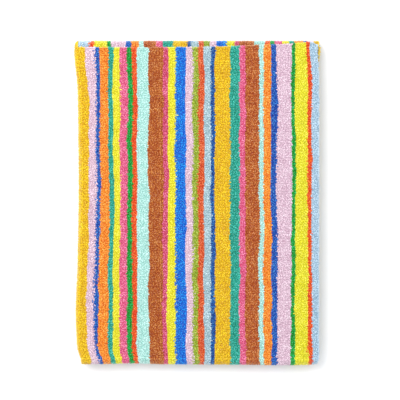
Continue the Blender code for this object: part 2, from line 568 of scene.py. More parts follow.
class Draft:
    """A node tree being drawn up: it adds nodes, sets their values and joins their sockets."""

    def __init__(self, tree: bpy.types.NodeTree) -> None:
        """Start on a tree.

        Args:
            tree: The node tree to add to.
        """
        self.tree = tree

    def add(self, kind: str, settings: dict | None = None, inputs: dict | None = None) -> bpy.types.Node:
        """Add a node.

        Args:
            kind: The node's type name.
            settings: Its properties, by name.
            inputs: Its inputs, by name or number. A socket is joined, and anything else is set as the value.

        Returns:
            The new node.
        """
        node = self.tree.nodes.new(kind)
        for name, value in (settings or {}).items():
            setattr(node, name, value)
        for key, value in (inputs or {}).items():
            self.give(node.inputs[key], value)
        return node

    def give(self, socket: bpy.types.NodeSocket, value: object) -> None:
        """Join a socket to another, or set its value.

        Args:
            socket: The input to fill.
            value: A socket to join it to, or the value to set.
        """
        if isinstance(value, bpy.types.NodeSocket):
            self.tree.links.new(value, socket)
        else:
            socket.default_value = value

    def maths(self, operation: str, first: object, second: object = 0.0) -> bpy.types.NodeSocket:
        """Add a Math node and give its result."""
        return self.add("ShaderNodeMath", {"operation": operation}, {0: first, 1: second}).outputs[0]

    def vector(self, x: object = 0.0, y: object = 0.0, z: object = 0.0) -> bpy.types.NodeSocket:
        """Add a Combine XYZ node and give its vector."""
        return self.add("ShaderNodeCombineXYZ", inputs={"X": x, "Y": y, "Z": z}).outputs[0]

    def noise(
        self, place: bpy.types.NodeSocket, scale: float, detail: float = 0.0, roughness: float = 0.5
    ) -> bpy.types.NodeSocket:
        """Add a Noise Texture node and give its value.

        Args:
            place: The socket that gives the place, or a single number's socket for noise along a line.
            scale: How many of its lumps there are to one unit of the place.
            detail: How many finer layers are added.
            roughness: How strong those layers are.

        Returns:
            The socket that puts the value out, from 0 to 1.
        """
        line = place.type == "VALUE"
        settings = {"noise_dimensions": "1D" if line else "3D"}
        inputs = {"W" if line else "Vector": place, "Scale": scale, "Detail": detail, "Roughness": roughness}
        return self.add("ShaderNodeTexNoise", settings, inputs).outputs[0]

    def random(self, kind: str, low: object, high: object, seed: object) -> bpy.types.NodeSocket:
        """Add a Random Value node and give its value.

        Args:
            kind: FLOAT or FLOAT_VECTOR.
            low: The least value.
            high: The greatest value.
            seed: A number or a socket that sets the draw.

        Returns:
            The socket that puts the value out.
        """
        first, out = (0, 0) if kind == "FLOAT_VECTOR" else (2, 1)
        inputs = {first: low, first + 1: high, "Seed": seed}
        return self.add("FunctionNodeRandomValue", {"data_type": kind}, inputs).outputs[out]


@dataclass(frozen=True)
class LoopForm:
    """One loop of the pile: a short arch of soft yarn that stands out of the ground cloth.

    Attributes:
        span: Between the arch's two feet, in metres.
        yarn: The yarn's radius.
        rise: How far the middle of the arch's top stands over the ground cloth.
        sink: How far its feet lie inside the ground cloth.
        lean: The most that it leans to any side, in radians.
        turn: The most that it turns away from the cloth's width, in radians.
        variety: How much its size differs from the next one's, as a share.
        runs: How many straight runs make up the arch, three or more.
    """

    span: float = 0.0021
    yarn: float = 0.00062
    rise: float = 0.00075
    sink: float = 0.0006
    lean: float = 0.45
    turn: float = 2 * math.pi
    variety: float = 0.22
    runs: int = 3


class PileTree:
    """The Geometry Nodes tree that sets rows of loops on a flat stretch of cloth.

    Attributes:
        SIZES: The inputs for the stretch and its rows.
        LOOP: The inputs for the form of a loop.
        SIDES: How many sides a loop's yarn has.
        PALER: The power on the draw of tones. Below 1 it makes pale loops commoner than deep ones.
    """

    SIZES = ("Across", "Along", "Spacing Across", "Spacing Along", "Scatter")
    LOOP = ("Span", "Yarn", "Rise", "Sink", "Lean", "Turn", "Variety")
    SIDES = 3
    PALER = 0.6

    def __init__(self) -> None:
        """Draw up the tree with a named input for each size."""
        self.tree = bpy.data.node_groups.new("looped_pile", "GeometryNodeTree")
        self.sockets: dict[str, str] = {}
        self.tree.interface.new_socket("Geometry", in_out="OUTPUT", socket_type="NodeSocketGeometry")
        for name in self.SIZES + self.LOOP:
            self._input(name, "NodeSocketFloat")
        self._input("Runs", "NodeSocketInt")
        self._input("Seed", "NodeSocketInt")
        self._input("Finish", "NodeSocketMaterial")
        self._draw()

    def _input(self, name: str, kind: str) -> None:
        """Add a named input and keep its identifier."""
        socket = self.tree.interface.new_socket(name, in_out="INPUT", socket_type=kind)
        self.sockets[name] = socket.identifier

    def _form(self, draft: Draft, given: bpy.types.NodeOutputs) -> bpy.types.NodeSocket:
        """Draw one loop: a closed tube of yarn along a short arch.

        Args:
            draft: The tree being drawn.
            given: The tree's inputs, by name.

        Returns:
            The loop's geometry.
        """
        down = draft.maths("MULTIPLY", given["Sink"], -1.0)
        reach = draft.maths("MULTIPLY", given["Span"], 0.5)
        top = draft.maths("ADD", draft.maths("MULTIPLY", given["Rise"], 2.0), given["Sink"])
        arch = draft.add(
            "GeometryNodeCurveQuadraticBezier",
            inputs={
                "Resolution": given["Runs"],
                "Start": draft.vector(draft.maths("MULTIPLY", reach, -1.0), z=down),
                "Middle": draft.vector(z=top),
                "End": draft.vector(reach, z=down),
            },
        )
        section = draft.add(
            "GeometryNodeCurvePrimitiveCircle", inputs={"Resolution": self.SIDES, "Radius": given["Yarn"]}
        )
        tube = draft.add(
            "GeometryNodeCurveToMesh",
            inputs={"Curve": arch.outputs[0], "Profile Curve": section.outputs[0], "Fill Caps": True},
        )
        return draft.add("GeometryNodeSetShadeSmooth", inputs={"Geometry": tube.outputs[0]}).outputs[0]

    def _keep(
        self, draft: Draft, loops: bpy.types.NodeSocket, kind: str, name: str, value: bpy.types.NodeSocket
    ) -> bpy.types.NodeSocket:
        """Keep a value with each loop as a named attribute.

        Args:
            draft: The tree being drawn.
            loops: The loops.
            kind: FLOAT or FLOAT_VECTOR.
            name: The attribute's name.
            value: The value to keep.

        Returns:
            The loops with their attribute.
        """
        settings = {"data_type": kind, "domain": "INSTANCE"}
        inputs = {"Geometry": loops, "Name": name, "Value": value}
        return draft.add("GeometryNodeStoreNamedAttribute", settings, inputs).outputs[0]

    def _draw(self) -> None:
        """Draw the whole tree."""
        draft = Draft(self.tree)
        given = draft.add("NodeGroupInput").outputs
        across, along = given["Across"], given["Along"]
        rows = draft.add(
            "GeometryNodeMeshGrid",
            inputs={
                "Size X": across,
                "Size Y": along,
                "Vertices X": draft.maths("DIVIDE", across, given["Spacing Across"]),
                "Vertices Y": draft.maths("DIVIDE", along, given["Spacing Along"]),
            },
        )
        scatter, lean = given["Scatter"], given["Lean"]
        back, tilt = (draft.maths("MULTIPLY", size, -1.0) for size in (scatter, lean))
        small, big = (draft.maths(change, 1.0, given["Variety"]) for change in ("SUBTRACT", "ADD"))
        seeds = [draft.maths("ADD", given["Seed"], float(number)) for number in range(4)]
        least, most = draft.vector(back, back), draft.vector(scatter, scatter)
        stray = draft.random("FLOAT_VECTOR", least, most, seeds[0])
        lowest, highest = draft.vector(tilt, tilt), draft.vector(lean, lean, given["Turn"])
        turn = draft.random("FLOAT_VECTOR", lowest, highest, seeds[1])
        smallest, biggest = draft.vector(small, small, small), draft.vector(big, big, big)
        grown = draft.random("FLOAT_VECTOR", smallest, biggest, seeds[2])
        tone = draft.maths("POWER", draft.random("FLOAT", 0.0, 1.0, seeds[3]), self.PALER)
        strewn = draft.add("GeometryNodeSetPosition", inputs={"Geometry": rows.outputs[0], "Offset": stray})
        loops = draft.add(
            "GeometryNodeInstanceOnPoints",
            inputs={
                "Points": strewn.outputs[0],
                "Instance": self._form(draft, given),
                "Rotation": draft.add("FunctionNodeEulerToRotation", inputs={0: turn}).outputs[0],
                "Scale": grown,
            },
        ).outputs[0]
        loops = self._keep(draft, loops, "FLOAT", TONE, tone)
        place = draft.add("GeometryNodeInputPosition").outputs[0]
        loops = self._keep(draft, loops, "FLOAT_VECTOR", ROOT, place)
        real = draft.add("GeometryNodeRealizeInstances", inputs={0: loops})
        finished = draft.add(
            "GeometryNodeSetMaterial", inputs={"Geometry": real.outputs[0], "Material": given["Finish"]}
        )
        draft.add("NodeGroupOutput", inputs={"Geometry": finished.outputs[0]})

    def grow(self, name: str, values: dict[str, object]) -> bpy.types.Mesh:
        """Run the tree and give its result as a plain mesh.

        Args:
            name: A name for the mesh.
            values: The inputs, by name.

        Returns:
            The mesh, flat and about the stretch's middle.
        """
        holder = mesh_object(name + "_rows", bpy.data.meshes.new(name + "_rows"))
        modifier = holder.modifiers.new("looped_pile", "NODES")
        modifier.node_group = self.tree
        for key, value in values.items():
            modifier[self.sockets[key]] = value
        seen = holder.evaluated_get(bpy.context.evaluated_depsgraph_get())
        mesh = bpy.data.meshes.new_from_object(seen)
        mesh.name = name
        holder.modifiers.clear()
        bpy.data.objects.remove(holder)
        return mesh


class Face(Enum):
    """The side of the cloth that a stretch of loops stands on."""

    OUTER = "outer"
    INNER = "inner"
    NEAR_SELVEDGE = "near selvedge"
    FAR_SELVEDGE = "far selvedge"
    TOP_HEM = "top hem"
    BOTTOM_HEM = "bottom hem"


@dataclass(frozen=True)
class Stretch:
    """A rectangle of the flat cloth that carries loops.

    Attributes:
        across: From and to, across the cloth, in metres.
        along: From and to, along the cloth.
        face: The side that the loops stand on.
        widened: How much wider the face is than the flat cloth there, as round the left fold.
        lengthened: How much longer it is, as round the front and rear folds.
        rows: How many rows lie along it, where that isn't left to the pile's spacing.
    """

    across: tuple[float, float]
    along: tuple[float, float]
    face: Face = Face.OUTER
    widened: float = 1.0
    lengthened: float = 1.0
    rows: int = 0


@dataclass(frozen=True)
class Ground:
    """The ground cloth under the loops.

    Attributes:
        thickness: Its thickness in metres, a little less than the loops make it.
        lump: How far the pile's unevenness moves it.
        edge_share: The share of a raw edge's thickness that its loops stand on.
        settling: How high over the floor the press of the stack's weight is still felt.
    """

    thickness: float = 0.0026
    lump: float = 0.00020
    edge_share: float = 0.6
    settling: float = 0.0022

    def half(self, across: np.ndarray, along: np.ndarray) -> np.ndarray:
        """Give half the ground's thickness at each place, thin at the rims and uneven as pile is."""
        half = self.thickness / 2 + self.lump * lumps(across, along)
        return half * FOLD.fullness(across, along)

    def pressed(self, height: np.ndarray) -> np.ndarray:
        """Press the underside flat on the floor, as its loops are under the stack's own weight."""
        hollow = (FOLD.thickness - self.thickness) / 2 + self.lump
        return np.maximum(height - hollow * (1 - ease((height - hollow) / self.settling)), 0.0)


GROUND = Ground()


@dataclass
class LoopPile:
    """A piece of pile: loops on one or more stretches of the cloth, laid into its folds.

    Attributes:
        name: The piece's name.
        stretches: Where its loops stand.
        seed: Sets the random draw of places, turns and tones.
        spacing: The loops' pitch across and along the cloth.
        scatter: The most that a loop strays from its row.
        loop: The form of a loop.
        pressed: How far the hems' stitching presses the loops down, as a share of their height.
        seed_step: How far apart the seeds of two stretches are.
        fewest: How many rows there are at least on a narrow stretch, as a number that is cut to a whole one.
        bake_lean: How far a loop's height moves it on the bake's map, so that its sides don't lie on its top.
        bake_margin: How much wider and longer than the stretch that map is, in metres.
        bake_rim: The share of that map that is left free at its rim.
    """

    name: str
    stretches: tuple[Stretch, ...]
    seed: int
    spacing: tuple[float, float] = (0.0023, 0.0025)
    scatter: float = 0.0008
    loop: LoopForm = field(default_factory=LoopForm)
    pressed: float = 0.6
    seed_step: int = 10
    fewest: float = 2.2
    bake_lean: float = 0.4
    bake_margin: float = 0.010
    bake_rim: float = 0.002

    def _flat(self, stretch: Stretch, points: np.ndarray) -> tuple[np.ndarray, np.ndarray, np.ndarray]:
        """Turn points of a flat stretch into places across, along and off the cloth.

        Args:
            stretch: Where the loops stand.
            points: The points, about the stretch's middle, with their height off its face.

        Returns:
            The places across, the places along, and the heights off the cloth's middle.
        """
        middle = sum(stretch.across) / 2, sum(stretch.along) / 2
        x, y, up = points.T
        if stretch.face is Face.OUTER or stretch.face is Face.INNER:
            sign = 1.0 if stretch.face is Face.OUTER else -1.0
            across = middle[0] + x / stretch.widened
            along = middle[1] + sign * y / stretch.lengthened
            height = up * (1 - self.pressed * FOLD.seam(along) * (up > 0))
            return across, along, sign * (GROUND.half(across, along) + height)
        if stretch.face is Face.NEAR_SELVEDGE:
            return stretch.across[0] - up, middle[1] + y / stretch.lengthened, x
        if stretch.face is Face.FAR_SELVEDGE:
            return stretch.across[1] + up, middle[1] + y / stretch.lengthened, -x
        if stretch.face is Face.TOP_HEM:
            return middle[0] + x, stretch.along[0] - up, y
        return middle[0] + x, stretch.along[1] + up, -y

    def _sizes(self, stretch: Stretch) -> tuple[float, float]:
        """Give the size of a stretch's own face, as the tree draws it.

        Args:
            stretch: Where the loops stand.

        Returns:
            Its width and its length in metres.
        """
        wide = (stretch.across[1] - stretch.across[0]) * stretch.widened
        long = (stretch.along[1] - stretch.along[0]) * stretch.lengthened
        if stretch.face in (Face.NEAR_SELVEDGE, Face.FAR_SELVEDGE):
            return GROUND.thickness * GROUND.edge_share, long
        if stretch.face in (Face.TOP_HEM, Face.BOTTOM_HEM):
            return wide, GROUND.thickness * GROUND.edge_share
        return wide, long

    def _grow(self, tree: PileTree, number: int, finish: bpy.types.Material) -> bpy.types.Mesh:
        """Grow one stretch's loops and lay them into the folds.

        Args:
            tree: The tree that grows the loops.
            number: Which of the stretches it is, from 0.
            finish: The loops' material.

        Returns:
            The loops' mesh, in place, with the map of the cloth and the bake's own.
        """
        stretch = self.stretches[number]
        wide, long = self._sizes(stretch)
        spaced = min(self.spacing[1], long / self.fewest)
        values = {name.capitalize(): size for name, size in asdict(self.loop).items()} | {
            "Across": wide,
            "Along": long,
            "Spacing Across": min(self.spacing[0], wide / self.fewest),
            "Spacing Along": long / stretch.rows if stretch.rows else spaced,
            "Scatter": self.scatter,
            "Seed": self.seed + self.seed_step * number,
            "Finish": finish,
        }
        mesh = tree.grow(f"{self.name}_{number}", values)
        points = vectors(mesh.vertices, "co")
        across, along, outward = self._flat(stretch, points)
        laid = FOLD.laid(across, along, outward) + SHIFT
        laid[:, 2] = GROUND.pressed(laid[:, 2])
        mesh.vertices.foreach_set("co", laid.astype(np.float32).ravel())
        roots = self._flat(stretch, vectors(mesh.attributes[ROOT].data, "vector"))
        mesh.attributes.remove(mesh.attributes[ROOT])
        write_uv(mesh, PLACE_MAP, np.stack(roots[:2], 1) / FOLD.length)
        own = points[:, :2] + self.bake_lean * points[:, 2:]
        own = own / (wide + self.bake_margin, long + self.bake_margin) + 0.5
        own = own.clip(self.bake_rim, 1 - self.bake_rim)
        own[:, 1] = (own[:, 1] + number) * (1 / len(self.stretches))
        write_uv(mesh, BAKE_MAP, own)
        return mesh

    def build(self, tree: PileTree, finish: bpy.types.Material) -> bpy.types.Object:
        """Grow all the stretches and join them into one piece.

        Args:
            tree: The tree that grows the loops.
            finish: The loops' material.

        Returns:
            The finished piece.
        """
        meshes = [self._grow(tree, number, finish) for number in range(len(self.stretches))]
        parts = [mesh_object(mesh.name, mesh) for mesh in meshes]
        with bpy.context.temp_override(active_object=parts[0], selected_editable_objects=parts):
            bpy.ops.object.join()
        piece = parts[0]
        piece.name = self.name
        piece.data.name = self.name
        return piece


@dataclass
class TerryCloth:
    """The ground cloth as one fine sheet, laid into the folds.

    Attributes:
        name: The piece's name.
        half_steps: How many steps lie across each half.
        panel_steps: How many lie along each panel.
        halving_steps: How many go round the left fold.
        thirding_steps: How many go round the front or the rear fold.
        crowding: How much closer the steps lie at a panel's ends, as a share.
    """

    name: str = "towel_cloth"
    half_steps: int = 34
    panel_steps: int = 44
    halving_steps: int = 10
    thirding_steps: int = 12
    crowding: float = 0.6

    def _spread(self, length: float, steps: int) -> np.ndarray:
        """Divide a length into steps that are gathered towards its ends."""
        share = np.linspace(0, 1, steps + 1)
        return length * (share - self.crowding * np.sin(2 * math.pi * share) / (2 * math.pi))

    def _lines(self, runs: tuple[tuple[float, int], ...], bend: float, bend_steps: int) -> np.ndarray:
        """Place the sheet's lines over flat runs with a bend between each two.

        Args:
            runs: The length of each flat run, and its number of steps.
            bend: The length of a bend.
            bend_steps: How many steps go round it.

        Returns:
            The places of the lines, from edge to edge.
        """
        places, start = [np.array([0.0, FOLD.rim / 2, FOLD.rim])], 0.0
        for number, (length, steps) in enumerate(runs):
            if number:
                places.append(start + np.linspace(0, bend, bend_steps + 1))
                start += bend
            places.append(start + self._spread(length, steps))
            start += length
        places.append(start - np.array([FOLD.rim, FOLD.rim / 2, 0.0]))
        every = np.unique(np.round(np.concatenate(places), 7))
        apart = np.diff(every, prepend=-1.0) > FOLD.rim / 4
        every = every[apart]
        every[-1] = start
        return every

    def _grid(self) -> tuple[np.ndarray, np.ndarray]:
        """Place the sheet's points on the flat cloth.

        Returns:
            Their places across and along it, column by column.
        """
        back_half = FOLD.width - FOLD.front_half - FOLD.halving_bend
        bottom = FOLD.length - FOLD.top_panel - FOLD.middle_panel - 2 * FOLD.thirding_bend
        halves = ((FOLD.front_half, self.half_steps), (back_half, self.half_steps))
        panels = tuple((run, self.panel_steps) for run in (FOLD.top_panel, FOLD.middle_panel, bottom))
        columns = self._lines(halves, FOLD.halving_bend, self.halving_steps)
        rows = self._lines(panels, FOLD.thirding_bend, self.thirding_steps)
        along, across = np.meshgrid(rows, columns)
        return across, along

    def _skin(self, wide: int, long: int) -> np.ndarray:
        """List the faces of the closed skin: the outer face, the inner face and the four rims.

        Args:
            wide: How many points lie across the cloth.
            long: How many lie along it.

        Returns:
            The points of each face, one row for each, turned so that all faces point outwards.
        """
        count = wide * long
        number = np.arange(count).reshape(wide, long)
        corners = (number[:-1, :-1], number[1:, :-1], number[1:, 1:], number[:-1, 1:])
        outer = np.stack(corners, -1).reshape(-1, 4)
        faces = [outer, outer[:, ::-1] + count]
        for edge, turn in ((number[:, 0], -1), (number[:, -1], 1), (number[0, :], 1), (number[-1, :], -1)):
            back = edge + count
            faces.append(np.stack([edge[:-1], edge[1:], back[1:], back[:-1]], -1)[:, ::turn])
        return np.concatenate(faces)

    def build(self, finish: bpy.types.Material) -> bpy.types.Object:
        """Build the sheet as one closed skin.

        Args:
            finish: The ground cloth's material.

        Returns:
            The finished piece.
        """
        across, along = self._grid()
        half = GROUND.half(across, along)
        sides = [FOLD.laid(across, along, side * half).reshape(-1, 3) for side in (1, -1)]
        points = np.concatenate(sides) + SHIFT
        points[:, 2] = GROUND.pressed(points[:, 2])
        mesh = bpy.data.meshes.new(self.name)
        mesh.from_pydata(points.tolist(), [], self._skin(*across.shape).tolist())
        mesh.update()
        mesh.shade_smooth()
        places = np.stack([across.ravel(), along.ravel()], 1)
        both = np.concatenate([places, places])
        write_uv(mesh, PLACE_MAP, both / FOLD.length)
        write_uv(mesh, BAKE_MAP, both / (FOLD.width, FOLD.length))
        mesh.materials.append(finish)
        return mesh_object(self.name, mesh)


def shader_group(name: str, first: tuple[str, str], numbers: tuple[str, ...]) -> Draft:
    """Start a shader group that puts out one colour.

    Args:
        name: The group's name.
        first: The name and the socket type of its first input.
        numbers: The names of its other inputs.

    Returns:
        A draft of the group's tree.
    """
    tree = bpy.data.node_groups.new(name, "ShaderNodeTree")
    tree.interface.new_socket(first[0], in_out="INPUT", socket_type=first[1])
    for number in numbers:
        tree.interface.new_socket(number, in_out="INPUT", socket_type="NodeSocketFloat")
    tree.interface.new_socket("Colour", in_out="OUTPUT", socket_type="NodeSocketColor")
    return Draft(tree)


class StripedWarp:
    """The shader group that reads a place on the cloth and gives the colour of the yarn there.

    Attributes:
        SWAYS: Sways per metre in the stripes' edges, across and along the cloth.
        SWAY_DETAIL: How many finer sways are added to the slow ones.
        SWAY_ROUGHNESS: How strong those are.
        STRAYS: Strays per metre, which are about as large as a loop.
        LOOSE_BARS: Changes per metre across the cloth between firm edges and loose ones.
        LOOSE_GAIN: How much the loosest edges fray, before the power.
        LOOSE_POWER: The power that sets loose edges apart from firm ones.
    """

    SWAYS = (38.0, 17.0)
    SWAY_DETAIL = 3.0
    SWAY_ROUGHNESS = 0.55
    STRAYS = 480.0
    LOOSE_BARS = 75.0
    LOOSE_GAIN = 1.95
    LOOSE_POWER = 2.0

    def __init__(self, chart: StripeChart) -> None:
        """Draw up the group.

        Args:
            chart: The stripes to follow.
        """
        draft = shader_group("striped_warp", ("Place", "NodeSocketVector"), ("Wander", "Fray"))
        self.tree = draft.tree
        given = draft.add("NodeGroupInput").outputs
        part = draft.add("ShaderNodeSeparateXYZ", inputs={0: given["Place"]}).outputs
        slow = [draft.maths("MULTIPLY", part[axis], sways) for axis, sways in zip("XY", self.SWAYS)]
        bend = draft.noise(draft.vector(*slow), 1.0, self.SWAY_DETAIL, self.SWAY_ROUGHNESS)
        sway = draft.maths("MULTIPLY", draft.maths("SUBTRACT", bend, 0.5), given["Wander"])
        fine = draft.noise(given["Place"], self.STRAYS)
        stray = draft.maths("MULTIPLY", draft.maths("SUBTRACT", fine, 0.5), given["Fray"])
        bars = draft.maths("MULTIPLY", draft.noise(part["X"], self.LOOSE_BARS), self.LOOSE_GAIN)
        fray = draft.maths("MULTIPLY", stray, draft.maths("POWER", bars, self.LOOSE_POWER))
        moved = draft.maths("ADD", draft.maths("ADD", part["X"], sway), fray)
        turns = draft.maths("DIVIDE", draft.maths("ADD", moved, chart.start + chart.repeat), chart.repeat)
        ramp = draft.add("ShaderNodeValToRGB", inputs={0: draft.maths("FRACT", turns)})
        chart.fill(ramp.color_ramp)
        draft.add("NodeGroupOutput", inputs={"Colour": ramp.outputs[0]})


class YarnToneAndShade:
    """The shader group that makes one loop deeper or paler than the next: partly tone that differs at random,
    partly painted light and shade, as its yarn catches the light.

    Attributes:
        LIGHTER: How much of the spread of tones goes to the brightness, beside the painted depth of the
            colour.
    """

    LIGHTER = 0.2

    def __init__(self) -> None:
        """Draw up the group: a power deepens and enriches the colour, and a factor brightens or dims it, both
        as painted light and shade.
        """
        draft = shader_group("yarn_tone_and_shade", ("Colour", "NodeSocketColor"), ("Tone", "Depth", "Spread", "Shade"))
        self.tree = draft.tree
        given = draft.add("NodeGroupInput").outputs
        off = draft.maths("SUBTRACT", 0.5, given["Tone"])
        power = draft.maths("ADD", given["Depth"], draft.maths("MULTIPLY", off, given["Spread"]))
        deep = draft.add("ShaderNodeGamma", inputs={"Color": given["Colour"], "Gamma": power})
        share = draft.maths("MULTIPLY", given["Spread"], self.LIGHTER)
        # Painted light and shade: the brightness factor, which is low for the ground cloth's painted shade.
        light = draft.maths("SUBTRACT", given["Shade"], draft.maths("MULTIPLY", off, share))
        toned = draft.add("ShaderNodeHueSaturation", inputs={"Value": light, "Color": deep.outputs[0]})
        draft.add("NodeGroupOutput", inputs={"Colour": toned.outputs[0]})


@dataclass(frozen=True)
class TerryFinish:
    """The finish of looped cotton.

    Attributes:
        name: The material's name.
        wander: How far the stripes' edges sway, in metres.
        fray: How far they fray from loop to loop.
        shade: How bright the yarn is, as a share of its colour. The ground cloth's low value is painted
            shade, where the loops over it shadow it.
        depth: The power that deepens and enriches the colour: painted shade, as of light caught between
            loops.
        tones: How much that power differs from one loop to the next.
        clouds: How many clouds of paler and deeper pile there are to a metre, as its lie changes.
        cloud_detail: How many finer clouds are added.
        looped: True where the surface itself has no loops, so that bump stands for them.
        cells: How many such loops there are to a metre.
        cell_tone: How much darker the cloth is painted between them, as painted shade in the crevices.
        cell_height: How high they stand, in metres.
        cell_strength: The bump's strength.
        roughness: The shader's roughness.
        sheen: The shader's sheen weight.
        sheen_roughness: The shader's sheen roughness.
        specular: The shader's specular level.
    """

    name: str
    wander: float = 0.0090
    fray: float = 0.0038
    shade: float = 1.0
    depth: float = 1.0
    tones: float = 0.0
    clouds: float = 70.0
    cloud_detail: float = 2.0
    looped: bool = False
    cells: float = 430.0
    cell_tone: float = 1.3
    cell_height: float = 0.0011
    cell_strength: float = 0.9
    roughness: float = 0.95
    sheen: float = 0.40
    sheen_roughness: float = 0.5
    specular: float = 0.25

    def _tone(
        self, draft: Draft, metres: bpy.types.NodeSocket, normal: bpy.types.NodeSocket
    ) -> bpy.types.NodeSocket:
        """Give the tone of each loop. Where the surface has no loops of its own, bump it and paint shade in
        the crevices between the bumped loops.

        Args:
            draft: The material's tree.
            metres: The place on the flat cloth.
            normal: The shader's socket for the bump.

        Returns:
            The tone, from 0 for deep to 1 for pale.
        """
        if not self.looped:
            return draft.add("ShaderNodeAttribute", {"attribute_name": TONE}).outputs["Fac"]
        cell = draft.add("ShaderNodeTexVoronoi", inputs={"Vector": metres, "Scale": self.cells})
        away = cell.outputs["Distance"]
        form = {"Strength": self.cell_strength, "Distance": self.cell_height, "Height": away}
        draft.give(normal, draft.add("ShaderNodeBump", {"invert": True}, form).outputs[0])
        # Painted shade: the cloth is darker away from the middle of each bumped loop, in the crevices between
        # them.
        return draft.maths("SUBTRACT", 1.0, draft.maths("MULTIPLY", away, self.cell_tone))

    def make(self, warp: StripedWarp, yarn: YarnToneAndShade) -> bpy.types.Material:
        """Make the material.

        Args:
            warp: The group that colours the stripes.
            yarn: The group that varies the yarn from loop to loop and paints its light and shade.

        Returns:
            The material.
        """
        material = bpy.data.materials.new(self.name)
        material.use_nodes = True
        draft = Draft(material.node_tree)
        shader = material.node_tree.nodes["Principled BSDF"]
        place = draft.add("ShaderNodeUVMap", {"uv_map": PLACE_MAP}).outputs[0]
        scaled = draft.add("ShaderNodeVectorMath", {"operation": "SCALE"}, {0: place, "Scale": FOLD.length})
        metres = scaled.outputs[0]
        sizes = {"Place": metres, "Wander": self.wander, "Fray": self.fray}
        stripes = draft.add("ShaderNodeGroup", {"node_tree": warp.tree}, sizes).outputs[0]
        lie = draft.maths("SUBTRACT", draft.noise(metres, self.clouds, self.cloud_detail), 0.5)
        tone = draft.maths("ADD", self._tone(draft, metres, shader.inputs["Normal"]), lie)
        looks = {"Tone": tone, "Depth": self.depth, "Spread": self.tones, "Shade": self.shade}
        toned = draft.add("ShaderNodeGroup", {"node_tree": yarn.tree}, {"Colour": stripes, **looks})
        draft.give(shader.inputs["Base Color"], toned.outputs[0])
        for socket, value in (
            ("Roughness", self.roughness),
            ("Sheen Weight", self.sheen),
            ("Sheen Roughness", self.sheen_roughness),
            ("Specular IOR Level", self.specular),
        ):
            draft.give(shader.inputs[socket], value)
        return material


# Painted shade: the ground cloth between the loops is darker and deeper than the loops, where they shadow it.
SHADED_GROUND_FINISH = TerryFinish("terry_ground_shaded", shade=0.66, depth=1.40, tones=0.60, looped=True)
LOOP_FINISH = TerryFinish("terry_loops", depth=1.12, tones=0.80)
THREAD_FINISH = TerryFinish("hem_thread", fray=0.0, shade=0.90, depth=1.12, tones=0.20)


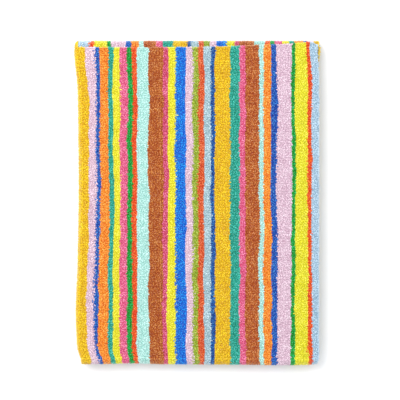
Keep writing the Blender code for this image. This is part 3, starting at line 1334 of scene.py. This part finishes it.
@dataclass
class Towel:
    """The whole towel: the ground cloth and its pile.

    Attributes:
        edge: How far in from a raw edge its loops stand on both faces, in metres.
        inset: How far in from a raw edge the loops on its rim are rooted.
        under: How far in front of the rear fold the loops start that the top hem half covers.
        lap: How far the left fold's loops run on over the flat cloth.
        fold_spacing: The loops' pitch across and along the front and rear folds.
        left_spacing: Their pitch across and along the left fold.
        stitch: The length of a stitch.
        stitch_pitch: From one stitch to the next, as a share of that length.
        thread: The sewing thread's radius.
        thread_rise: How far a stitch stands out of the cloth.
        thread_sink: How far its ends go in.
    """

    edge: float = 0.005
    inset: float = 0.0003
    under: float = 0.014
    lap: float = 0.003
    fold_spacing: tuple[float, float] = (0.0023, 0.0023)
    left_spacing: tuple[float, float] = (0.0019, 0.0025)
    stitch: float = 0.0028
    stitch_pitch: float = 1.2
    thread: float = 0.00026
    thread_rise: float = 0.00022
    thread_sink: float = 0.00030

    def tops(self) -> list[LoopPile]:
        """List the pile of the top panel, in three pieces from right to left.

        Returns:
            The pieces.
        """
        widths = np.linspace(0.0, FOLD.front_half, 4)
        piles = []
        for number, side in enumerate(("right", "middle", "left")):
            stretch = Stretch((widths[number], widths[number + 1]), (0.0, FOLD.top_panel))
            piles.append(LoopPile(f"pile_top_{side}", (stretch,), seed=100 * number + 7))
        return piles

    def folds(self) -> list[LoopPile]:
        """List the pile that goes round the front, rear and left folds.

        Returns:
            The three pieces.
        """
        left, back, width, length = FOLD.front_half, FOLD.back_start, FOLD.width, FOLD.length
        front_end, rear_start, rear_end = FOLD.front_end, FOLD.rear_start, FOLD.rear_end
        round_fold = FOLD.outermost / FOLD.pitch
        round_left = (FOLD.pitch / 2 + GROUND.thickness / 2) / (FOLD.pitch / 2)
        front = (Stretch((0.0, left), (FOLD.top_panel, front_end), lengthened=round_fold),)
        rear = (
            Stretch((back, width), (rear_start - self.under, rear_start)),
            Stretch((back, width), (rear_start, rear_end), lengthened=round_fold),
        )
        side = (
            Stretch((left, back), (0.0, length), widened=round_left),
            Stretch((left - self.lap, left), (front_end, length)),
            Stretch((back, back + self.lap), (0.0, rear_end)),
        )
        return [
            LoopPile("pile_front_fold", front, 401, self.fold_spacing),
            LoopPile("pile_rear_fold", rear, 501, self.fold_spacing),
            LoopPile("pile_left_fold", side, 601, self.left_spacing),
        ]

    def edges(self) -> list[LoopPile]:
        """List the pile along the selvedges and the hems, on both faces and on the rim.

        Returns:
            The two pieces.
        """
        left, back, width, length = FOLD.front_half, FOLD.back_start, FOLD.width, FOLD.length
        whole, near, far = (0.0, length), (0.0, self.edge), (width - self.edge, width)
        selvedges = (
            Stretch(near, (FOLD.top_panel, length)),
            Stretch(near, whole, Face.INNER),
            Stretch(far, (0.0, FOLD.rear_end)),
            Stretch(far, whole, Face.INNER),
            Stretch((self.inset, self.edge), whole, Face.NEAR_SELVEDGE),
            Stretch((0.0, width - self.inset), whole, Face.FAR_SELVEDGE),
        )
        end = (length - self.edge, length)
        hems = (
            Stretch((0.0, left), near, Face.INNER),
            Stretch((back, width), near),
            Stretch((back, width), near, Face.INNER),
            Stretch((0.0, left), end),
            Stretch((0.0, width), end, Face.INNER),
            Stretch((0.0, width), (self.inset, self.edge), Face.TOP_HEM),
            Stretch((0.0, width), (0.0, length - self.inset), Face.BOTTOM_HEM),
        )
        return [LoopPile("pile_selvedges", selvedges, 701), LoopPile("pile_hems", hems, 801)]

    def stitches(self) -> LoopPile:
        """Give the stitches of the two hems, where the cloth doesn't lie on the floor.

        Returns:
            The stitches, as a pile of low loops in single rows.
        """
        near = (FOLD.hem - self.thread, FOLD.hem + self.thread)
        far = (FOLD.length - near[1], FOLD.length - near[0])
        seams = (
            Stretch((0.0, FOLD.width), near, rows=1),
            Stretch((0.0, FOLD.width), near, Face.INNER, rows=1),
            Stretch((0.0, FOLD.front_half), far, rows=1),
            Stretch((0.0, FOLD.width), far, Face.INNER, rows=1),
        )
        stitch = LoopForm(
            self.stitch, self.thread, self.thread_rise, self.thread_sink, lean=0.0, turn=0.05, variety=0.04
        )
        pitch = self.stitch * self.stitch_pitch
        return LoopPile("hem_stitches", seams, 901, (pitch, pitch), self.thread / 3, stitch, pressed=0.0)

    def build(self) -> None:
        warp, yarn, tree = StripedWarp(STRIPES), YarnToneAndShade(), PileTree()
        ground, loops, thread = (
            finish.make(warp, yarn) for finish in (SHADED_GROUND_FINISH, LOOP_FINISH, THREAD_FINISH)
        )
        cloth = TerryCloth().build(ground)
        piles = [pile.build(tree, loops) for pile in self.tops() + self.folds() + self.edges()]
        piles.append(self.stitches().build(tree, thread))
        for piece in [cloth, *piles]:
            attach(piece, BODY)
            log.info("%s: %d faces", piece.name, len(piece.data.polygons))
        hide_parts(NODE)


@dataclass
class Studio:
    """The pale floor, the soft light and the camera straight above.

    Attributes:
        view_width: What the photograph's width spans at the towel's top, in metres.
        lens: The camera's lens in millimetres.
        aside: How far the photograph's middle lies from the towel's, in metres.
        floor_reach: How far the floor goes to each side.
        floor_height: Its height, a hair under the towel.
        paper: The floor's colour in linear light.
        paper_roughness: Its roughness.
        paper_specular: Its specular level.
        key_place: Where the key light hangs.
        key_size: The length of its sides.
        key_power: Its power in watts.
        sky: The colour of the light from all round, in linear light.
        sky_strength: The strength of that light.
    """

    view_width: float = 0.5835
    lens: float = 200.0
    aside: tuple[float, float] = (0.0046, 0.0041)
    floor_reach: float = 9.0
    floor_height: float = -0.0003
    paper: tuple[float, float, float, float] = (0.90, 0.90, 0.90, 1.0)
    paper_roughness: float = 0.9
    paper_specular: float = 0.1
    key_place: tuple[float, float, float] = (-0.86, 0.82, 1.95)
    key_size: float = 1.6
    key_power: float = 38.0
    sky: tuple[float, float, float, float] = (0.955, 0.975, 1.0, 1.0)
    sky_strength: float = 1.07

    def floor(self) -> None:
        """Lay the pale floor."""
        reach, height = self.floor_reach, self.floor_height
        corners = [(x * reach, y * reach, height) for x, y in ((-1, -1), (1, -1), (1, 1), (-1, 1))]
        mesh = bpy.data.meshes.new("studio_floor")
        mesh.from_pydata(corners, [], [(0, 1, 2, 3)])
        material = bpy.data.materials.new("studio_paper")
        material.use_nodes = True
        shader = material.node_tree.nodes["Principled BSDF"]
        shader.inputs["Base Color"].default_value = self.paper
        shader.inputs["Roughness"].default_value = self.paper_roughness
        shader.inputs["Specular IOR Level"].default_value = self.paper_specular
        mesh.materials.append(material)
        mesh_object("studio_floor", mesh)

    def lights(self) -> None:
        """Hang the soft key at the rear left, facing the towel, and set the sky that fills the shadows."""
        light = bpy.data.lights.new("key_light", "AREA")
        light.size = self.key_size
        light.energy = self.key_power
        lamp = bpy.data.objects.new("key_light", light)
        lamp.location = self.key_place
        lamp.rotation_euler = (-Vector(self.key_place)).to_track_quat("-Z", "Y").to_euler()
        bpy.context.scene.collection.objects.link(lamp)
        world = bpy.data.worlds.new("studio_sky")
        world.use_nodes = True
        background = world.node_tree.nodes["Background"]
        background.inputs["Color"].default_value = self.sky
        background.inputs["Strength"].default_value = self.sky_strength
        bpy.context.scene.world = world

    def camera(self) -> None:
        """Hang the camera straight over the towel, as the photograph was taken."""
        low, high = (Vector(corner) for corner in CAD_BOX)
        lens = bpy.data.cameras.new("studio_camera")
        lens.lens = self.lens
        distance = self.view_width * self.lens / lens.sensor_width
        eye = bpy.data.objects.new("studio_camera", lens)
        middle = (low + high) / 2
        eye.location = (middle.x + self.aside[0], middle.y + self.aside[1], high.z + distance)
        bpy.context.scene.collection.objects.link(eye)
        bpy.context.scene.camera = eye

    def build(self) -> None:
        """Set up the floor, the lights, the camera and the plain colour transform."""
        self.floor()
        self.lights()
        self.camera()
        look = bpy.context.scene.view_settings
        look.view_transform = "Standard"
        look.look = "None"


def main() -> None:
    """Build the towel and its studio."""
    logging.basicConfig(level=logging.INFO, format="%(name)s %(message)s")
    Towel().build()
    Studio().build()


if __name__ == "__main__":
    main()
